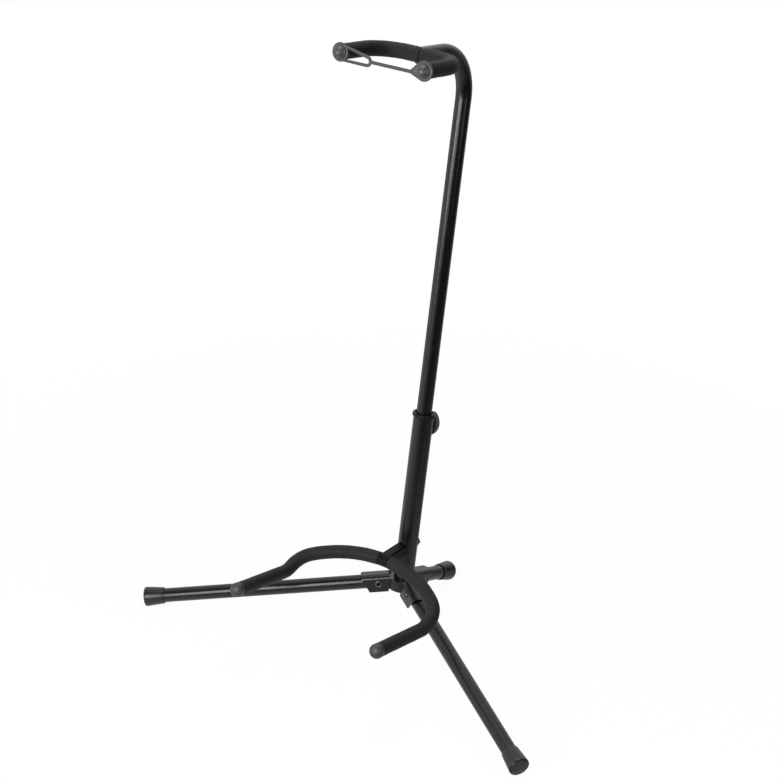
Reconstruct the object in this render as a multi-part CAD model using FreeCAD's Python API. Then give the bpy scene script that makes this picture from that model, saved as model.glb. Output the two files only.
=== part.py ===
import FreeCAD, Part
import math
import os
from FreeCAD import Vector

# Tripod guitar stand: folding legs, telescopic mast with a neck yoke, foam cradle.
# Every piece is drawn in the mast's own frame, with the mast along +Z, the front
# at -Y and the point where the legs' axes meet the mast's axis at the origin.
# At the end each piece is leaned back with the mast and set down on its feet.
# Lengths are millimetres and angles are degrees.

# Stance
MAST_LEAN = 10.6            # the mast leans back from the vertical
LEG_DROP = 13.0             # each leg falls away from a plane square to the mast
LEG_STEP = 120.0            # angle from one leg to the next, round the mast
FRONT_LEG_REACH = 336.0     # mast axis to the outer rim of a front foot
FOOT_FLAT = 0.5             # depth of the flat where a foot meets the floor

# Clearances
FIT_GAP = 0.05              # between fixed pieces that are pushed together
RUN_GAP = 0.06              # radial, between pieces that turn or slide
AIR_GAP = 0.3               # between moving pieces that only pass each other

# Mast tubes
LOWER_TUBE_DIAMETER = 25.0
LOWER_TUBE_WALL = 1.5
UPPER_TUBE_WALL = 1.2
BEND_START = 617.0          # height where the straight upper tube starts to bend
BEND_RADIUS = 57.0
BEND_ANGLE = 90.5
NECK_LENGTH = 40.0          # from the end of the bend to the yoke's rod

# Hub and leg brackets
HUB_DIAMETER = 39.0
HUB_BELOW = 11.0
HUB_ABOVE = 3.0
PLUG_DEPTH = 14.0
PLUG_FLANGE = 2.0
BRACKET_SHEET = 1.6
BRACKET_TOP_REACH = 53.5
BRACKET_FOOT_REACH = 43.5   # the end slants back below the leg
BRACKET_LIP = 2.0           # flanges reach this far below the leg tube
BRACKET_BEND = 5.0          # inside radius of the folds
PIVOT_REACH = 31.0
RIVET_DIAMETER = 6.0
RIVET_BORE = 3.6
RIVET_HEAD_DIAMETER = 9.6
RIVET_HEAD_HEIGHT = 1.5

# Legs and feet
LEG_TUBE_DIAMETER = 18.0
LEG_TUBE_WALL = 1.2
LEG_EAR_RADIUS = 5.8        # of the two ears that turn on the rivet
FOOT_LENGTH = 25.0
FOOT_WALL = 1.35
FOOT_FLARE = 2.2            # the rim stands out this far beyond the foot's inner end
FOOT_RIM_WIDTH = 2.0
FOOT_RIM_CHAMFER = 0.7
FOOT_DOME = 1.6
FOOT_FLOOR = 4.0

# Collar at the top of the lower tube, with the bush that guides the upper tube
COLLAR_WALL = 1.65
COLLAR_SKIRT = 2.4
COLLAR_TAPER = 1.2          # height of the tapered foot of the skirt
COLLAR_RIM = 2.6            # rises this far above the end of the lower tube
COLLAR_BEAD = 1.4
COLLAR_FLOOR = 0.8          # thickness over the end of the lower tube
BUSH_DEPTH = 36.0           # reaches this far down inside the lower tube
BUSH_WALL = 1.39

# Glide on the foot of the upper tube
GLIDE_BOTTOM = 125.0
GLIDE_HEIGHT = 22.0
GLIDE_SEAT = 3.0
GLIDE_HOLE_DIAMETER = 14.0

# Clamp
CLAMP_HEIGHT = 207.5
CLAMP_BELOW_END = 17.5      # the screw's axis lies this far below the lower tube's end
SCREW_DIAMETER = 6.0
BOSS_DIAMETER = 12.0
BOSS_HEIGHT = 4.3
KNOB_GAP = 1.2              # between the boss and the tightened knob
KNOB_WIDTH = 18.0
KNOB_HEIGHT = 32.0          # across the tips, before they are rounded
KNOB_TIP_RADIUS = 4.0
KNOB_THICKNESS = 8.5
KNOB_EDGE = 2.0
KNOB_SOCKET = 6.0           # the screw sits this deep in the knob
PAD_DIAMETER = 5.6
PAD_HEIGHT = 2.4
PAD_SPIGOT_DIAMETER = 3.0
PAD_SPIGOT_LENGTH = 2.5

# Cradle
STRUT_HEIGHT_ON_MAST = 47.0
STRUT_WIDTH = 14.0
STRUT_DEPTH = 14.0
STRUT_NOSE_DIAMETER = 16.4
STRUT_EDGE = 2.0
CRADLE_FORWARD = 48.5       # mast axis to the middle of the cradle rod
CRADLE_RISE = 42.0          # height of the middle of the cradle rod on the mast
CRADLE_TILT = 28.0          # the back of the cradle falls towards the front
CRADLE_BACK_RADIUS = 145.5
CRADLE_BACK_ANGLE = 38.0
CRADLE_CORNER_RADIUS = 36.0
CRADLE_LIFT = 32.6          # each arm bends up from the plane of the back
CRADLE_LIFT_RADIUS = 30.0
CRADLE_ARM = 96.0
CRADLE_ROD_DIAMETER = 8.0
CRADLE_FOAM_DIAMETER = 17.2
CRADLE_CAP_DIAMETER = 17.6
CRADLE_CAP_LENGTH = 9.0
CRADLE_CAP_DOME = 3.0
CRADLE_CAP_FLOOR = 4.0

# Stud that holds the strut
STUD_DIAMETER = 6.0
STUD_IN_STRUT = 16.0
STUD_TAIL = 2.0
SADDLE_DIAMETER = 13.0
SADDLE_HEIGHT = 3.0
NUT_ACROSS_FLATS = 10.0
NUT_HEIGHT = 5.0

# Yoke
YOKE_HALF_WIDTH = 54.6
YOKE_CORNER_RADIUS = 34.6
YOKE_ARM = 73.0             # back of the yoke to the end of each sleeve
YOKE_ROD_DIAMETER = 8.0
YOKE_SLEEVE_DIAMETER = 17.8
NECK_PAST_ROD = 6.0         # the upper tube ends this far past the axis of the yoke's rod
NECK_END_WALL = 2.0
YOKE_CAP_FLANGE_DIAMETER = 18.6
YOKE_CAP_FLANGE = 2.4
YOKE_CAP_NECK_DIAMETER = 12.6
YOKE_CAP_DOME_DIAMETER = 16.4
YOKE_CAP_DOME = 4.6
YOKE_CAP_EDGE = 1.2
YOKE_ROD_IN_CAP = 3.0

# Rubber strap across the mouth of the yoke
STRAP_THICKNESS = 2.6
STRAP_RING_DIAMETER = 22.0
STRAP_BAND = 4.2
STRAP_LOOP_WIDTH = 21.0
STRAP_LOOP_END_WIDTH = 13.0
STRAP_LOOP_LENGTH = 42.0
STRAP_SAG = 3.5             # the band hangs this far below the middle of the caps
STRAP_TEARDROP = 16.0

# Sizes that follow from the driving dimensions
ORIGIN = Vector(0, 0, 0)
RIGHT = Vector(1, 0, 0)
FORWARD = Vector(0, -1, 0)
BACKWARD = Vector(0, 1, 0)
UP = Vector(0, 0, 1)
DOWN = Vector(0, 0, -1)
QUARTER_TURN = 90.0
LOWER_RADIUS = LOWER_TUBE_DIAMETER / 2
LOWER_BORE = LOWER_RADIUS - LOWER_TUBE_WALL
LOWER_TUBE_TOP = CLAMP_HEIGHT + CLAMP_BELOW_END
UPPER_RADIUS = LOWER_BORE - FIT_GAP - BUSH_WALL - RUN_GAP
UPPER_TUBE_DIAMETER = 2 * UPPER_RADIUS
LEG_RADIUS = LEG_TUBE_DIAMETER / 2
HUB_RADIUS = HUB_DIAMETER / 2
COLLAR_RADIUS = LOWER_RADIUS + FIT_GAP + COLLAR_WALL
COLLAR_TOP = LOWER_TUBE_TOP + COLLAR_RIM
FOOT_INNER_RADIUS = LEG_RADIUS + FIT_GAP + FOOT_WALL
FOOT_RIM_RADIUS = FOOT_INNER_RADIUS + FOOT_FLARE
FOAM_RADIUS = CRADLE_FOAM_DIAMETER / 2
SLEEVE_RADIUS = YOKE_SLEEVE_DIAMETER / 2
LEG_NAMES = {"left": -LEG_STEP / 2, "right": LEG_STEP / 2, "rear": 180.0}


def radians(angle):
    return math.radians(angle)


def rod(start, direction, length, radius):
    """Solid round bar from a point along a direction."""
    return Part.makeCylinder(radius, length, start, direction)


def pipe(start, direction, length, outer, inner):
    """Straight hollow tube."""
    return rod(start, direction, length, outer).cut(rod(start, direction, length, inner))


def turned(profile, start, direction):
    """Solid of revolution: (distance along the axis, radius) points, closed."""
    wire = Part.makePolygon([Vector(r, 0, z) for z, r in profile + profile[:1]])
    solid = Part.Face(wire).revolve(ORIGIN, UP, 360)
    return aimed(solid, start, direction)


def aimed(shape, start, direction):
    """Move a shape drawn along +Z so that it starts at a point and follows a direction."""
    shape.Placement = FreeCAD.Placement(start, FreeCAD.Rotation(UP, direction))
    return shape


def domed(radius, straight, dome, start, direction):
    """Round bar with a spherical end cap."""
    sphere_radius = (radius ** 2 + dome ** 2) / (2 * dome)
    bar = Part.makeCylinder(radius, straight + dome)
    ball = Part.makeSphere(sphere_radius, Vector(0, 0, straight + dome - sphere_radius))
    lower = Part.makeCylinder(radius, straight)
    return aimed(lower.fuse(bar.common(ball)).removeSplitter(), start, direction)


class Path:
    """A line of straight runs and tangent arcs, from which round pieces are swept."""

    def __init__(self, start, direction):
        self.point = Vector(start)
        self.direction = Vector(direction).normalize()
        self.moves = []

    def line(self, length):
        self.moves.append(("line", Vector(self.point), Vector(self.direction), length))
        self.point = self.point + self.direction * length
        return self

    def arc(self, radius, angle, axis):
        axis = Vector(axis).normalize()
        centre = self.point + axis.cross(self.direction) * radius
        self.moves.append(("arc", Vector(self.point), Vector(self.direction), centre, axis, angle))
        turn = FreeCAD.Rotation(axis, angle)
        self.point = centre + turn.multVec(self.point - centre)
        self.direction = turn.multVec(self.direction)
        return self

    def swept(self, outer, inner=0.0):
        """Round solid along the path, hollow where an inner radius is given."""
        pieces = []
        for move in self.moves:
            outline = Part.Wire(Part.makeCircle(outer, move[1], move[2]))
            face = Part.Face(outline)
            if inner:
                hole = Part.Wire(Part.makeCircle(inner, move[1], move[2]))
                face = Part.Face(outline).cut(Part.Face(hole)).Faces[0]
            if move[0] == "line":
                pieces.append(face.extrude(move[2] * move[3]))
            else:
                pieces.append(face.revolve(move[3], move[4], move[5]))
        body = pieces[0]
        if len(pieces) > 1:
            body = body.multiFuse(pieces[1:]).removeSplitter()
        return body.Solids[0]


def mirrored(shape):
    """The same piece on the other side of the middle plane."""
    return shape.mirror(ORIGIN, RIGHT)


def leg_place(shape, turn):
    """Swing a piece drawn for a level leg along -Y to its drop and its place round the mast."""
    shape = shape.copy()
    shape.rotate(ORIGIN, RIGHT, LEG_DROP)
    shape.rotate(ORIGIN, UP, turn)
    return shape


def along_leg(reach, height=0.0, side=0.0):
    return Vector(side, -reach, height)


# Mast

def lower_tube():
    bottom = Vector(0, 0, -HUB_BELOW)
    tube = pipe(bottom, UP, LOWER_TUBE_TOP + HUB_BELOW, LOWER_RADIUS, LOWER_BORE)
    stud_hole = rod(Vector(0, -LOWER_TUBE_DIAMETER, STRUT_HEIGHT_ON_MAST), BACKWARD,
                    2 * LOWER_TUBE_DIAMETER, STUD_DIAMETER / 2 + FIT_GAP)
    screw_hole = rod(Vector(0, 0, CLAMP_HEIGHT), BACKWARD, LOWER_TUBE_DIAMETER,
                     SCREW_DIAMETER / 2 + AIR_GAP)
    return tube.cut(stud_hole).cut(screw_hole)


def tube_collar():
    """Cap on the lower tube's end: outer skirt, raised rim and inner guide bush."""
    guide = UPPER_RADIUS + RUN_GAP
    bush = LOWER_BORE - FIT_GAP
    seat = LOWER_TUBE_TOP + FIT_GAP
    profile = [
        (LOWER_TUBE_TOP - BUSH_DEPTH, guide),
        (LOWER_TUBE_TOP - BUSH_DEPTH, bush),
        (seat, bush),
        (seat, LOWER_RADIUS + FIT_GAP),
        (LOWER_TUBE_TOP - COLLAR_SKIRT, LOWER_RADIUS + FIT_GAP),
        (LOWER_TUBE_TOP - COLLAR_SKIRT, LOWER_RADIUS + COLLAR_BEAD / 2),
        (LOWER_TUBE_TOP - COLLAR_SKIRT + COLLAR_TAPER, COLLAR_RADIUS),
        (COLLAR_TOP - COLLAR_BEAD, COLLAR_RADIUS),
        (COLLAR_TOP, COLLAR_RADIUS - COLLAR_BEAD),
        (COLLAR_TOP, bush),
        (seat + COLLAR_FLOOR, bush - FIT_GAP),
        (seat + COLLAR_FLOOR, guide),
    ]
    collar = turned(profile, ORIGIN, UP)
    window = rod(Vector(0, 0, CLAMP_HEIGHT), BACKWARD, LOWER_RADIUS, SCREW_DIAMETER / 2 + AIR_GAP)
    return collar.cut(window)


def upper_path():
    path = Path(Vector(0, 0, GLIDE_BOTTOM + GLIDE_SEAT + RUN_GAP), UP)
    path.line(BEND_START - path.point.z)
    path.arc(BEND_RADIUS, BEND_ANGLE, RIGHT)
    return path


def yoke_middle():
    """Centre of the yoke rod where the upper tube holds it, and the way the arms point."""
    path = upper_path().line(NECK_LENGTH)
    return path.point, path.direction


def upper_tube():
    path = upper_path().line(NECK_LENGTH + NECK_PAST_ROD)
    tube = path.swept(UPPER_RADIUS, UPPER_RADIUS - UPPER_TUBE_WALL)
    end = rod(path.point - path.direction * NECK_END_WALL, path.direction, NECK_END_WALL, UPPER_RADIUS)
    middle, _ = yoke_middle()
    hole = rod(middle - RIGHT * UPPER_TUBE_DIAMETER, RIGHT, 2 * UPPER_TUBE_DIAMETER,
               YOKE_ROD_DIAMETER / 2 + FIT_GAP)
    return tube.fuse(end).removeSplitter().cut(hole)


def tube_glide():
    """Plastic ring that the foot of the upper tube stands and turns in."""
    outer = LOWER_BORE - RUN_GAP
    profile = [
        (GLIDE_BOTTOM, GLIDE_HOLE_DIAMETER / 2),
        (GLIDE_BOTTOM, outer),
        (GLIDE_BOTTOM + GLIDE_HEIGHT, outer),
        (GLIDE_BOTTOM + GLIDE_HEIGHT, UPPER_RADIUS + RUN_GAP),
        (GLIDE_BOTTOM + GLIDE_SEAT, UPPER_RADIUS + RUN_GAP),
        (GLIDE_BOTTOM + GLIDE_SEAT, GLIDE_HOLE_DIAMETER / 2),
    ]
    return turned(profile, ORIGIN, UP)


# Hub, brackets and legs

def hub_drum():
    bottom = Vector(0, 0, -HUB_BELOW)
    return pipe(bottom, UP, HUB_BELOW + HUB_ABOVE, HUB_RADIUS, LOWER_RADIUS + FIT_GAP)


def tube_plug():
    bottom = Vector(0, 0, -HUB_BELOW)
    stem = rod(bottom, UP, PLUG_DEPTH, LOWER_BORE - FIT_GAP)
    flange = rod(bottom, DOWN, PLUG_FLANGE, LOWER_RADIUS)
    return stem.fuse(flange).removeSplitter()


def channel_bar(half_width, depth, reach, bend):
    """Bar along a level leg, square below and with its two upper edges rounded."""
    bar = Part.makeBox(2 * half_width, reach, half_width + depth, Vector(-half_width, -reach, -depth))
    upper = [edge for edge in bar.Edges
             if abs(edge.tangentAt(edge.FirstParameter).y) > 0.9 and edge.CenterOfMass.z > 0]
    return bar.makeFillet(bend, upper)


def leg_bracket(turn):
    """Folded channel over the leg, open below, butted against the hub."""
    half_inside = LEG_RADIUS + AIR_GAP
    half_outside = half_inside + BRACKET_SHEET
    drop = LEG_RADIUS + BRACKET_LIP
    channel = channel_bar(half_outside, drop, BRACKET_TOP_REACH, BRACKET_BEND + BRACKET_SHEET)
    channel = channel.cut(channel_bar(half_inside, 2 * drop, BRACKET_TOP_REACH, BRACKET_BEND))
    slant = Part.makePolygon([
        along_leg(BRACKET_TOP_REACH, half_outside, -half_outside),
        along_leg(BRACKET_FOOT_REACH, -drop, -half_outside),
        along_leg(BRACKET_TOP_REACH, -drop, -half_outside),
        along_leg(BRACKET_TOP_REACH, half_outside, -half_outside),
    ])
    channel = channel.cut(Part.Face(slant).extrude(RIGHT * 2 * half_outside))
    pivot = rod(along_leg(PIVOT_REACH, 0, -2 * half_outside), RIGHT, 4 * half_outside,
                RIVET_DIAMETER / 2 + FIT_GAP)
    channel = leg_place(channel.cut(pivot), turn)
    height = 2 * HUB_DIAMETER
    return channel.cut(rod(Vector(0, 0, -height / 2), UP, height, HUB_RADIUS))


def leg_rivet(turn):
    """Hollow rivet with a rolled head on each side of the bracket."""
    half_outside = LEG_RADIUS + AIR_GAP + BRACKET_SHEET
    shank = rod(along_leg(PIVOT_REACH, 0, -half_outside), RIGHT, 2 * half_outside, RIVET_DIAMETER / 2)
    head_radius = RIVET_HEAD_DIAMETER / 2
    left = rod(along_leg(PIVOT_REACH, 0, -half_outside), RIGHT * -1, RIVET_HEAD_HEIGHT, head_radius)
    right = rod(along_leg(PIVOT_REACH, 0, half_outside), RIGHT, RIVET_HEAD_HEIGHT, head_radius)
    full = half_outside + RIVET_HEAD_HEIGHT
    bore = rod(along_leg(PIVOT_REACH, 0, -full), RIGHT, 2 * full, RIVET_BORE / 2)
    return leg_place(shank.multiFuse([left, right]).removeSplitter().cut(bore), turn)


def leg_tube(reach, turn):
    """Leg tube, cut back at its inner end to two round ears, so that it can fold down."""
    start = PIVOT_REACH - LEG_EAR_RADIUS
    length = reach - FOOT_FLOOR - start
    tube = pipe(along_leg(start), FORWARD, length, LEG_RADIUS, LEG_RADIUS - LEG_TUBE_WALL)
    across = along_leg(PIVOT_REACH, 0, -LEG_TUBE_DIAMETER)
    waste = Part.makeBox(LEG_TUBE_DIAMETER, LEG_EAR_RADIUS, LEG_TUBE_DIAMETER,
                         Vector(-LEG_RADIUS, -PIVOT_REACH, -LEG_RADIUS))
    waste = waste.cut(rod(across, RIGHT, 2 * LEG_TUBE_DIAMETER, LEG_EAR_RADIUS))
    pivot = rod(across, RIGHT, 2 * LEG_TUBE_DIAMETER, RIVET_DIAMETER / 2 + RUN_GAP)
    return leg_place(tube.cut(waste).cut(pivot), turn)


def foot_outline():
    """Distance beyond the rim and radius of the corners of a foot's flared side."""
    return [
        (-FOOT_LENGTH, FOOT_INNER_RADIUS),
        (-FOOT_RIM_WIDTH, FOOT_RIM_RADIUS),
        (-FOOT_RIM_CHAMFER, FOOT_RIM_RADIUS),
        (0.0, FOOT_RIM_RADIUS - FOOT_RIM_CHAMFER),
    ]


def leg_foot(reach, turn):
    """Flared rubber foot, pushed over the leg tube, with a slightly domed end."""
    end_radius = FOOT_RIM_RADIUS - FOOT_RIM_CHAMFER
    side = turned([(-FOOT_LENGTH, 0.0)] + foot_outline() + [(0.0, 0.0)], along_leg(reach), FORWARD)
    dome = domed(end_radius, 0.0, FOOT_DOME, along_leg(reach), FORWARD)
    pocket = rod(along_leg(reach - FOOT_LENGTH), FORWARD, FOOT_LENGTH - FOOT_FLOOR, LEG_RADIUS + FIT_GAP)
    return leg_place(side.fuse(dome).removeSplitter().cut(pocket), turn)


def leg_slope(turn):
    """Angle of a leg below the level floor, once the mast leans back."""
    forward = math.cos(radians(turn)) * math.cos(radians(LEG_DROP))
    rise = forward * math.sin(radians(MAST_LEAN)) - math.sin(radians(LEG_DROP)) * math.cos(radians(MAST_LEAN))
    return -math.asin(rise)


def foot_depth(slope):
    """How far a foot's lowest corner lies below the centre of its rim."""
    return max(out * math.sin(slope) + radius * math.cos(slope) for out, radius in foot_outline())


FRONT_SLOPE = leg_slope(LEG_NAMES["left"])
REAR_SLOPE = leg_slope(LEG_NAMES["rear"])
HUB_HEIGHT = FRONT_LEG_REACH * math.sin(FRONT_SLOPE) + foot_depth(FRONT_SLOPE) - FOOT_FLAT
REAR_LEG_REACH = (HUB_HEIGHT + FOOT_FLAT - foot_depth(REAR_SLOPE)) / math.sin(REAR_SLOPE)
LEG_REACH = {"left": FRONT_LEG_REACH, "right": FRONT_LEG_REACH, "rear": REAR_LEG_REACH}


# Clamp

BOSS_END = LOWER_RADIUS + BOSS_HEIGHT
KNOB_FRONT = BOSS_END + KNOB_GAP
PAD_FRONT = UPPER_RADIUS + AIR_GAP
PAD_BACK = PAD_FRONT + PAD_HEIGHT


def clamp_point(distance):
    return Vector(0, distance, CLAMP_HEIGHT)


def clamp_boss():
    """Threaded boss welded to the back of the lower tube."""
    boss = rod(ORIGIN + UP * CLAMP_HEIGHT, BACKWARD, BOSS_END, BOSS_DIAMETER / 2)
    boss = boss.cut(rod(Vector(0, 0, CLAMP_HEIGHT - BOSS_DIAMETER), UP, 2 * BOSS_DIAMETER, LOWER_RADIUS))
    return boss.cut(rod(clamp_point(0), BACKWARD, BOSS_END, SCREW_DIAMETER / 2 + RUN_GAP))


def pressure_pad():
    """Pad on the screw's tip, hollowed to suit the upper tube."""
    pad = rod(clamp_point(0), BACKWARD, PAD_BACK, PAD_DIAMETER / 2)
    spigot = rod(clamp_point(PAD_BACK), BACKWARD, PAD_SPIGOT_LENGTH, PAD_SPIGOT_DIAMETER / 2)
    tube = rod(Vector(0, 0, CLAMP_HEIGHT - BOSS_DIAMETER), UP, 2 * BOSS_DIAMETER, PAD_FRONT)
    return pad.fuse(spigot).removeSplitter().cut(tube)


def clamp_screw():
    length = KNOB_FRONT + KNOB_SOCKET - PAD_BACK
    screw = rod(clamp_point(PAD_BACK), BACKWARD, length, SCREW_DIAMETER / 2)
    socket = rod(clamp_point(PAD_BACK), BACKWARD, PAD_SPIGOT_LENGTH + AIR_GAP,
                 PAD_SPIGOT_DIAMETER / 2 + RUN_GAP)
    return screw.cut(socket)


def clamp_knob():
    """Oval wing knob: two shallow sides that meet at rounded tips, moulded on the screw's head."""
    half_width = KNOB_WIDTH / 2
    side_radius = ((KNOB_HEIGHT / 2) ** 2 + half_width ** 2) / KNOB_WIDTH
    offset = RIGHT * (side_radius - half_width)
    front = clamp_point(KNOB_FRONT)
    left = rod(front + offset, BACKWARD, KNOB_THICKNESS, side_radius)
    right = rod(front - offset, BACKWARD, KNOB_THICKNESS, side_radius)
    knob = left.common(right)
    tips = [edge for edge in knob.Edges if abs(edge.tangentAt(edge.FirstParameter).y) > 0.9]
    knob = knob.makeFillet(KNOB_TIP_RADIUS, tips)
    back = KNOB_FRONT + KNOB_THICKNESS
    rim = [edge for edge in knob.Edges if edge.BoundBox.YMin > back - KNOB_EDGE]
    knob = knob.makeFillet(KNOB_EDGE, rim)
    return knob.cut(rod(front, BACKWARD, KNOB_SOCKET + FIT_GAP, SCREW_DIAMETER / 2 + FIT_GAP))


# Cradle

CRADLE_MIDDLE = Vector(0, -CRADLE_FORWARD, CRADLE_RISE)
CRADLE_NORMAL = Vector(0, -math.sin(radians(CRADLE_TILT)), math.cos(radians(CRADLE_TILT)))


def cradle_path(shorter=0.0, start=0.0):
    """Right half of the cradle: wide back, tight corner, then an arm that bends up."""
    first = math.degrees(start / CRADLE_BACK_RADIUS)
    centre = CRADLE_MIDDLE + CRADLE_NORMAL.cross(RIGHT) * -CRADLE_BACK_RADIUS
    turn = FreeCAD.Rotation(CRADLE_NORMAL, -first)
    path = Path(centre + turn.multVec(CRADLE_MIDDLE - centre), turn.multVec(RIGHT))
    path.arc(CRADLE_BACK_RADIUS, CRADLE_BACK_ANGLE - first, CRADLE_NORMAL * -1)
    path.arc(CRADLE_CORNER_RADIUS, QUARTER_TURN - CRADLE_BACK_ANGLE, CRADLE_NORMAL * -1)
    path.arc(CRADLE_LIFT_RADIUS, CRADLE_LIFT, RIGHT * -1)
    path.line(CRADLE_ARM - shorter)
    return path


def cradle_rod():
    half = cradle_path(CRADLE_CAP_FLOOR).swept(CRADLE_ROD_DIAMETER / 2)
    return half.fuse(mirrored(half)).removeSplitter()


def cradle_foam():
    """Right sleeve, cut off flat where it meets the side of the strut."""
    path = cradle_path(CRADLE_CAP_LENGTH, STRUT_WIDTH / 4)
    foam = path.swept(FOAM_RADIUS, CRADLE_ROD_DIAMETER / 2 + FIT_GAP)
    beside = STRUT_WIDTH / 2 + FIT_GAP
    room = 2 * CRADLE_FOAM_DIAMETER
    strut_room = Part.makeBox(2 * beside, room, room, CRADLE_MIDDLE - Vector(beside, room / 2, room / 2))
    return foam.cut(strut_room)


def cradle_cap():
    path = cradle_path()
    start = path.point - path.direction * (CRADLE_CAP_LENGTH - FIT_GAP)
    straight = CRADLE_CAP_LENGTH - FIT_GAP
    cap = domed(CRADLE_CAP_DIAMETER / 2, straight, CRADLE_CAP_DOME, start, path.direction)
    pocket = rod(start, path.direction, straight - CRADLE_CAP_FLOOR + FIT_GAP,
                 CRADLE_ROD_DIAMETER / 2 + FIT_GAP)
    return cap.cut(pocket)


def cradle_strut():
    """Bar from the lower tube to the cradle rod, which passes through its rounded end."""
    half = STRUT_DEPTH / 2
    nose_radius = STRUT_NOSE_DIAMETER / 2
    side = Part.makePolygon([
        Vector(-STRUT_WIDTH / 2, 0, STRUT_HEIGHT_ON_MAST - half),
        Vector(-STRUT_WIDTH / 2, 0, STRUT_HEIGHT_ON_MAST + half),
        Vector(-STRUT_WIDTH / 2, -CRADLE_FORWARD, CRADLE_RISE + nose_radius),
        Vector(-STRUT_WIDTH / 2, -CRADLE_FORWARD, CRADLE_RISE - nose_radius),
        Vector(-STRUT_WIDTH / 2, 0, STRUT_HEIGHT_ON_MAST - half),
    ])
    bar = Part.Face(side).extrude(RIGHT * STRUT_WIDTH)
    long_edges = [edge for edge in bar.Edges if abs(edge.tangentAt(edge.FirstParameter).y) > 0.9]
    bar = bar.makeFillet(STRUT_EDGE, long_edges)
    nose = rod(CRADLE_MIDDLE - RIGHT * STRUT_WIDTH / 2, RIGHT, STRUT_WIDTH, nose_radius)
    tube = rod(Vector(0, 0, STRUT_HEIGHT_ON_MAST - STRUT_DEPTH), UP, 2 * STRUT_DEPTH, LOWER_RADIUS)
    strut = bar.fuse(nose).cut(tube)
    rod_bore = cradle_path().swept(CRADLE_ROD_DIAMETER / 2 + FIT_GAP)
    strut = strut.cut(rod_bore).cut(mirrored(rod_bore))
    stud = rod(Vector(0, -LOWER_RADIUS - STUD_IN_STRUT, STRUT_HEIGHT_ON_MAST), BACKWARD,
               LOWER_RADIUS + STUD_IN_STRUT, STUD_DIAMETER / 2 + FIT_GAP)
    strut = strut.cut(stud)
    return max(strut.Solids, key=lambda solid: solid.Volume)


SADDLE_END = LOWER_RADIUS + SADDLE_HEIGHT


def strut_stud():
    start = Vector(0, -LOWER_RADIUS - STUD_IN_STRUT, STRUT_HEIGHT_ON_MAST)
    length = LOWER_RADIUS + STUD_IN_STRUT + SADDLE_END + NUT_HEIGHT + STUD_TAIL
    return rod(start, BACKWARD, length, STUD_DIAMETER / 2)


def saddle_washer():
    """Washer hollowed on one side to sit on the back of the lower tube."""
    start = Vector(0, 0, STRUT_HEIGHT_ON_MAST)
    washer = rod(start, BACKWARD, SADDLE_END, SADDLE_DIAMETER / 2)
    tube = rod(start + DOWN * SADDLE_DIAMETER, UP, 2 * SADDLE_DIAMETER, LOWER_RADIUS)
    hole = rod(start, BACKWARD, SADDLE_END, STUD_DIAMETER / 2 + FIT_GAP)
    return washer.cut(tube).cut(hole)


def strut_nut():
    corner = NUT_ACROSS_FLATS / 2 / math.cos(math.pi / 6)
    points = []
    for index in range(7):
        angle = index * math.pi / 3
        points.append(Vector(corner * math.cos(angle), SADDLE_END,
                             STRUT_HEIGHT_ON_MAST + corner * math.sin(angle)))
    nut = Part.Face(Part.makePolygon(points)).extrude(BACKWARD * NUT_HEIGHT)
    return nut.cut(rod(Vector(0, 0, STRUT_HEIGHT_ON_MAST), BACKWARD, SADDLE_END + NUT_HEIGHT,
                       STUD_DIAMETER / 2 + FIT_GAP))


# Yoke

YOKE_MIDDLE, YOKE_WAY = yoke_middle()
YOKE_NORMAL = RIGHT.cross(YOKE_WAY)
CAP_NECK = STRAP_THICKNESS + 2 * AIR_GAP
STRAP_CENTRE = YOKE_ARM + YOKE_CAP_FLANGE + CAP_NECK / 2


def yoke_path(start, longer=0.0):
    """Right half of the yoke: straight back, corner, then an arm that points forward."""
    path = Path(YOKE_MIDDLE + RIGHT * start, RIGHT)
    path.line(YOKE_HALF_WIDTH - YOKE_CORNER_RADIUS - start)
    path.arc(YOKE_CORNER_RADIUS, QUARTER_TURN, YOKE_NORMAL)
    path.line(YOKE_ARM - YOKE_CORNER_RADIUS + longer)
    return path


def yoke_rod():
    half = yoke_path(0.0, YOKE_ROD_IN_CAP).swept(YOKE_ROD_DIAMETER / 2)
    return half.fuse(mirrored(half)).removeSplitter()


def yoke_sleeve():
    """Right sleeve: cut out round the upper tube, and meets the left one in front of the tube's end."""
    sleeve = yoke_path(FIT_GAP).swept(SLEEVE_RADIUS, YOKE_ROD_DIAMETER / 2 + FIT_GAP)
    tube_end = YOKE_MIDDLE + YOKE_WAY * (NECK_PAST_ROD + FIT_GAP)
    return sleeve.cut(rod(tube_end, YOKE_WAY * -1, NECK_LENGTH, UPPER_RADIUS + FIT_GAP))


def yoke_cap():
    """Rubber end cap: flange, waist for the strap, then a domed button."""
    path = yoke_path(0.0)
    flange_start = path.point + path.direction * FIT_GAP
    neck_start = flange_start + path.direction * YOKE_CAP_FLANGE
    button_start = neck_start + path.direction * (CAP_NECK - FIT_GAP)
    flange = rod(flange_start, path.direction, YOKE_CAP_FLANGE, YOKE_CAP_FLANGE_DIAMETER / 2)
    neck = rod(neck_start, path.direction, CAP_NECK, YOKE_CAP_NECK_DIAMETER / 2)
    button = domed(YOKE_CAP_DOME_DIAMETER / 2, YOKE_CAP_EDGE, YOKE_CAP_DOME, button_start, path.direction)
    pocket = rod(path.point, path.direction, YOKE_ROD_IN_CAP + FIT_GAP, YOKE_ROD_DIAMETER / 2 + FIT_GAP)
    return flange.multiFuse([neck, button]).removeSplitter().cut(pocket)


def strap_point(across, height):
    """Point in the plane of the strap, square to the yoke's arms."""
    corner = YOKE_MIDDLE + YOKE_WAY * (STRAP_CENTRE - STRAP_THICKNESS / 2)
    return corner + RIGHT * across - YOKE_NORMAL * height


def strap_outline(points):
    return Part.Face(Part.makePolygon([strap_point(x, z) for x, z in points + points[:1]]))


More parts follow.
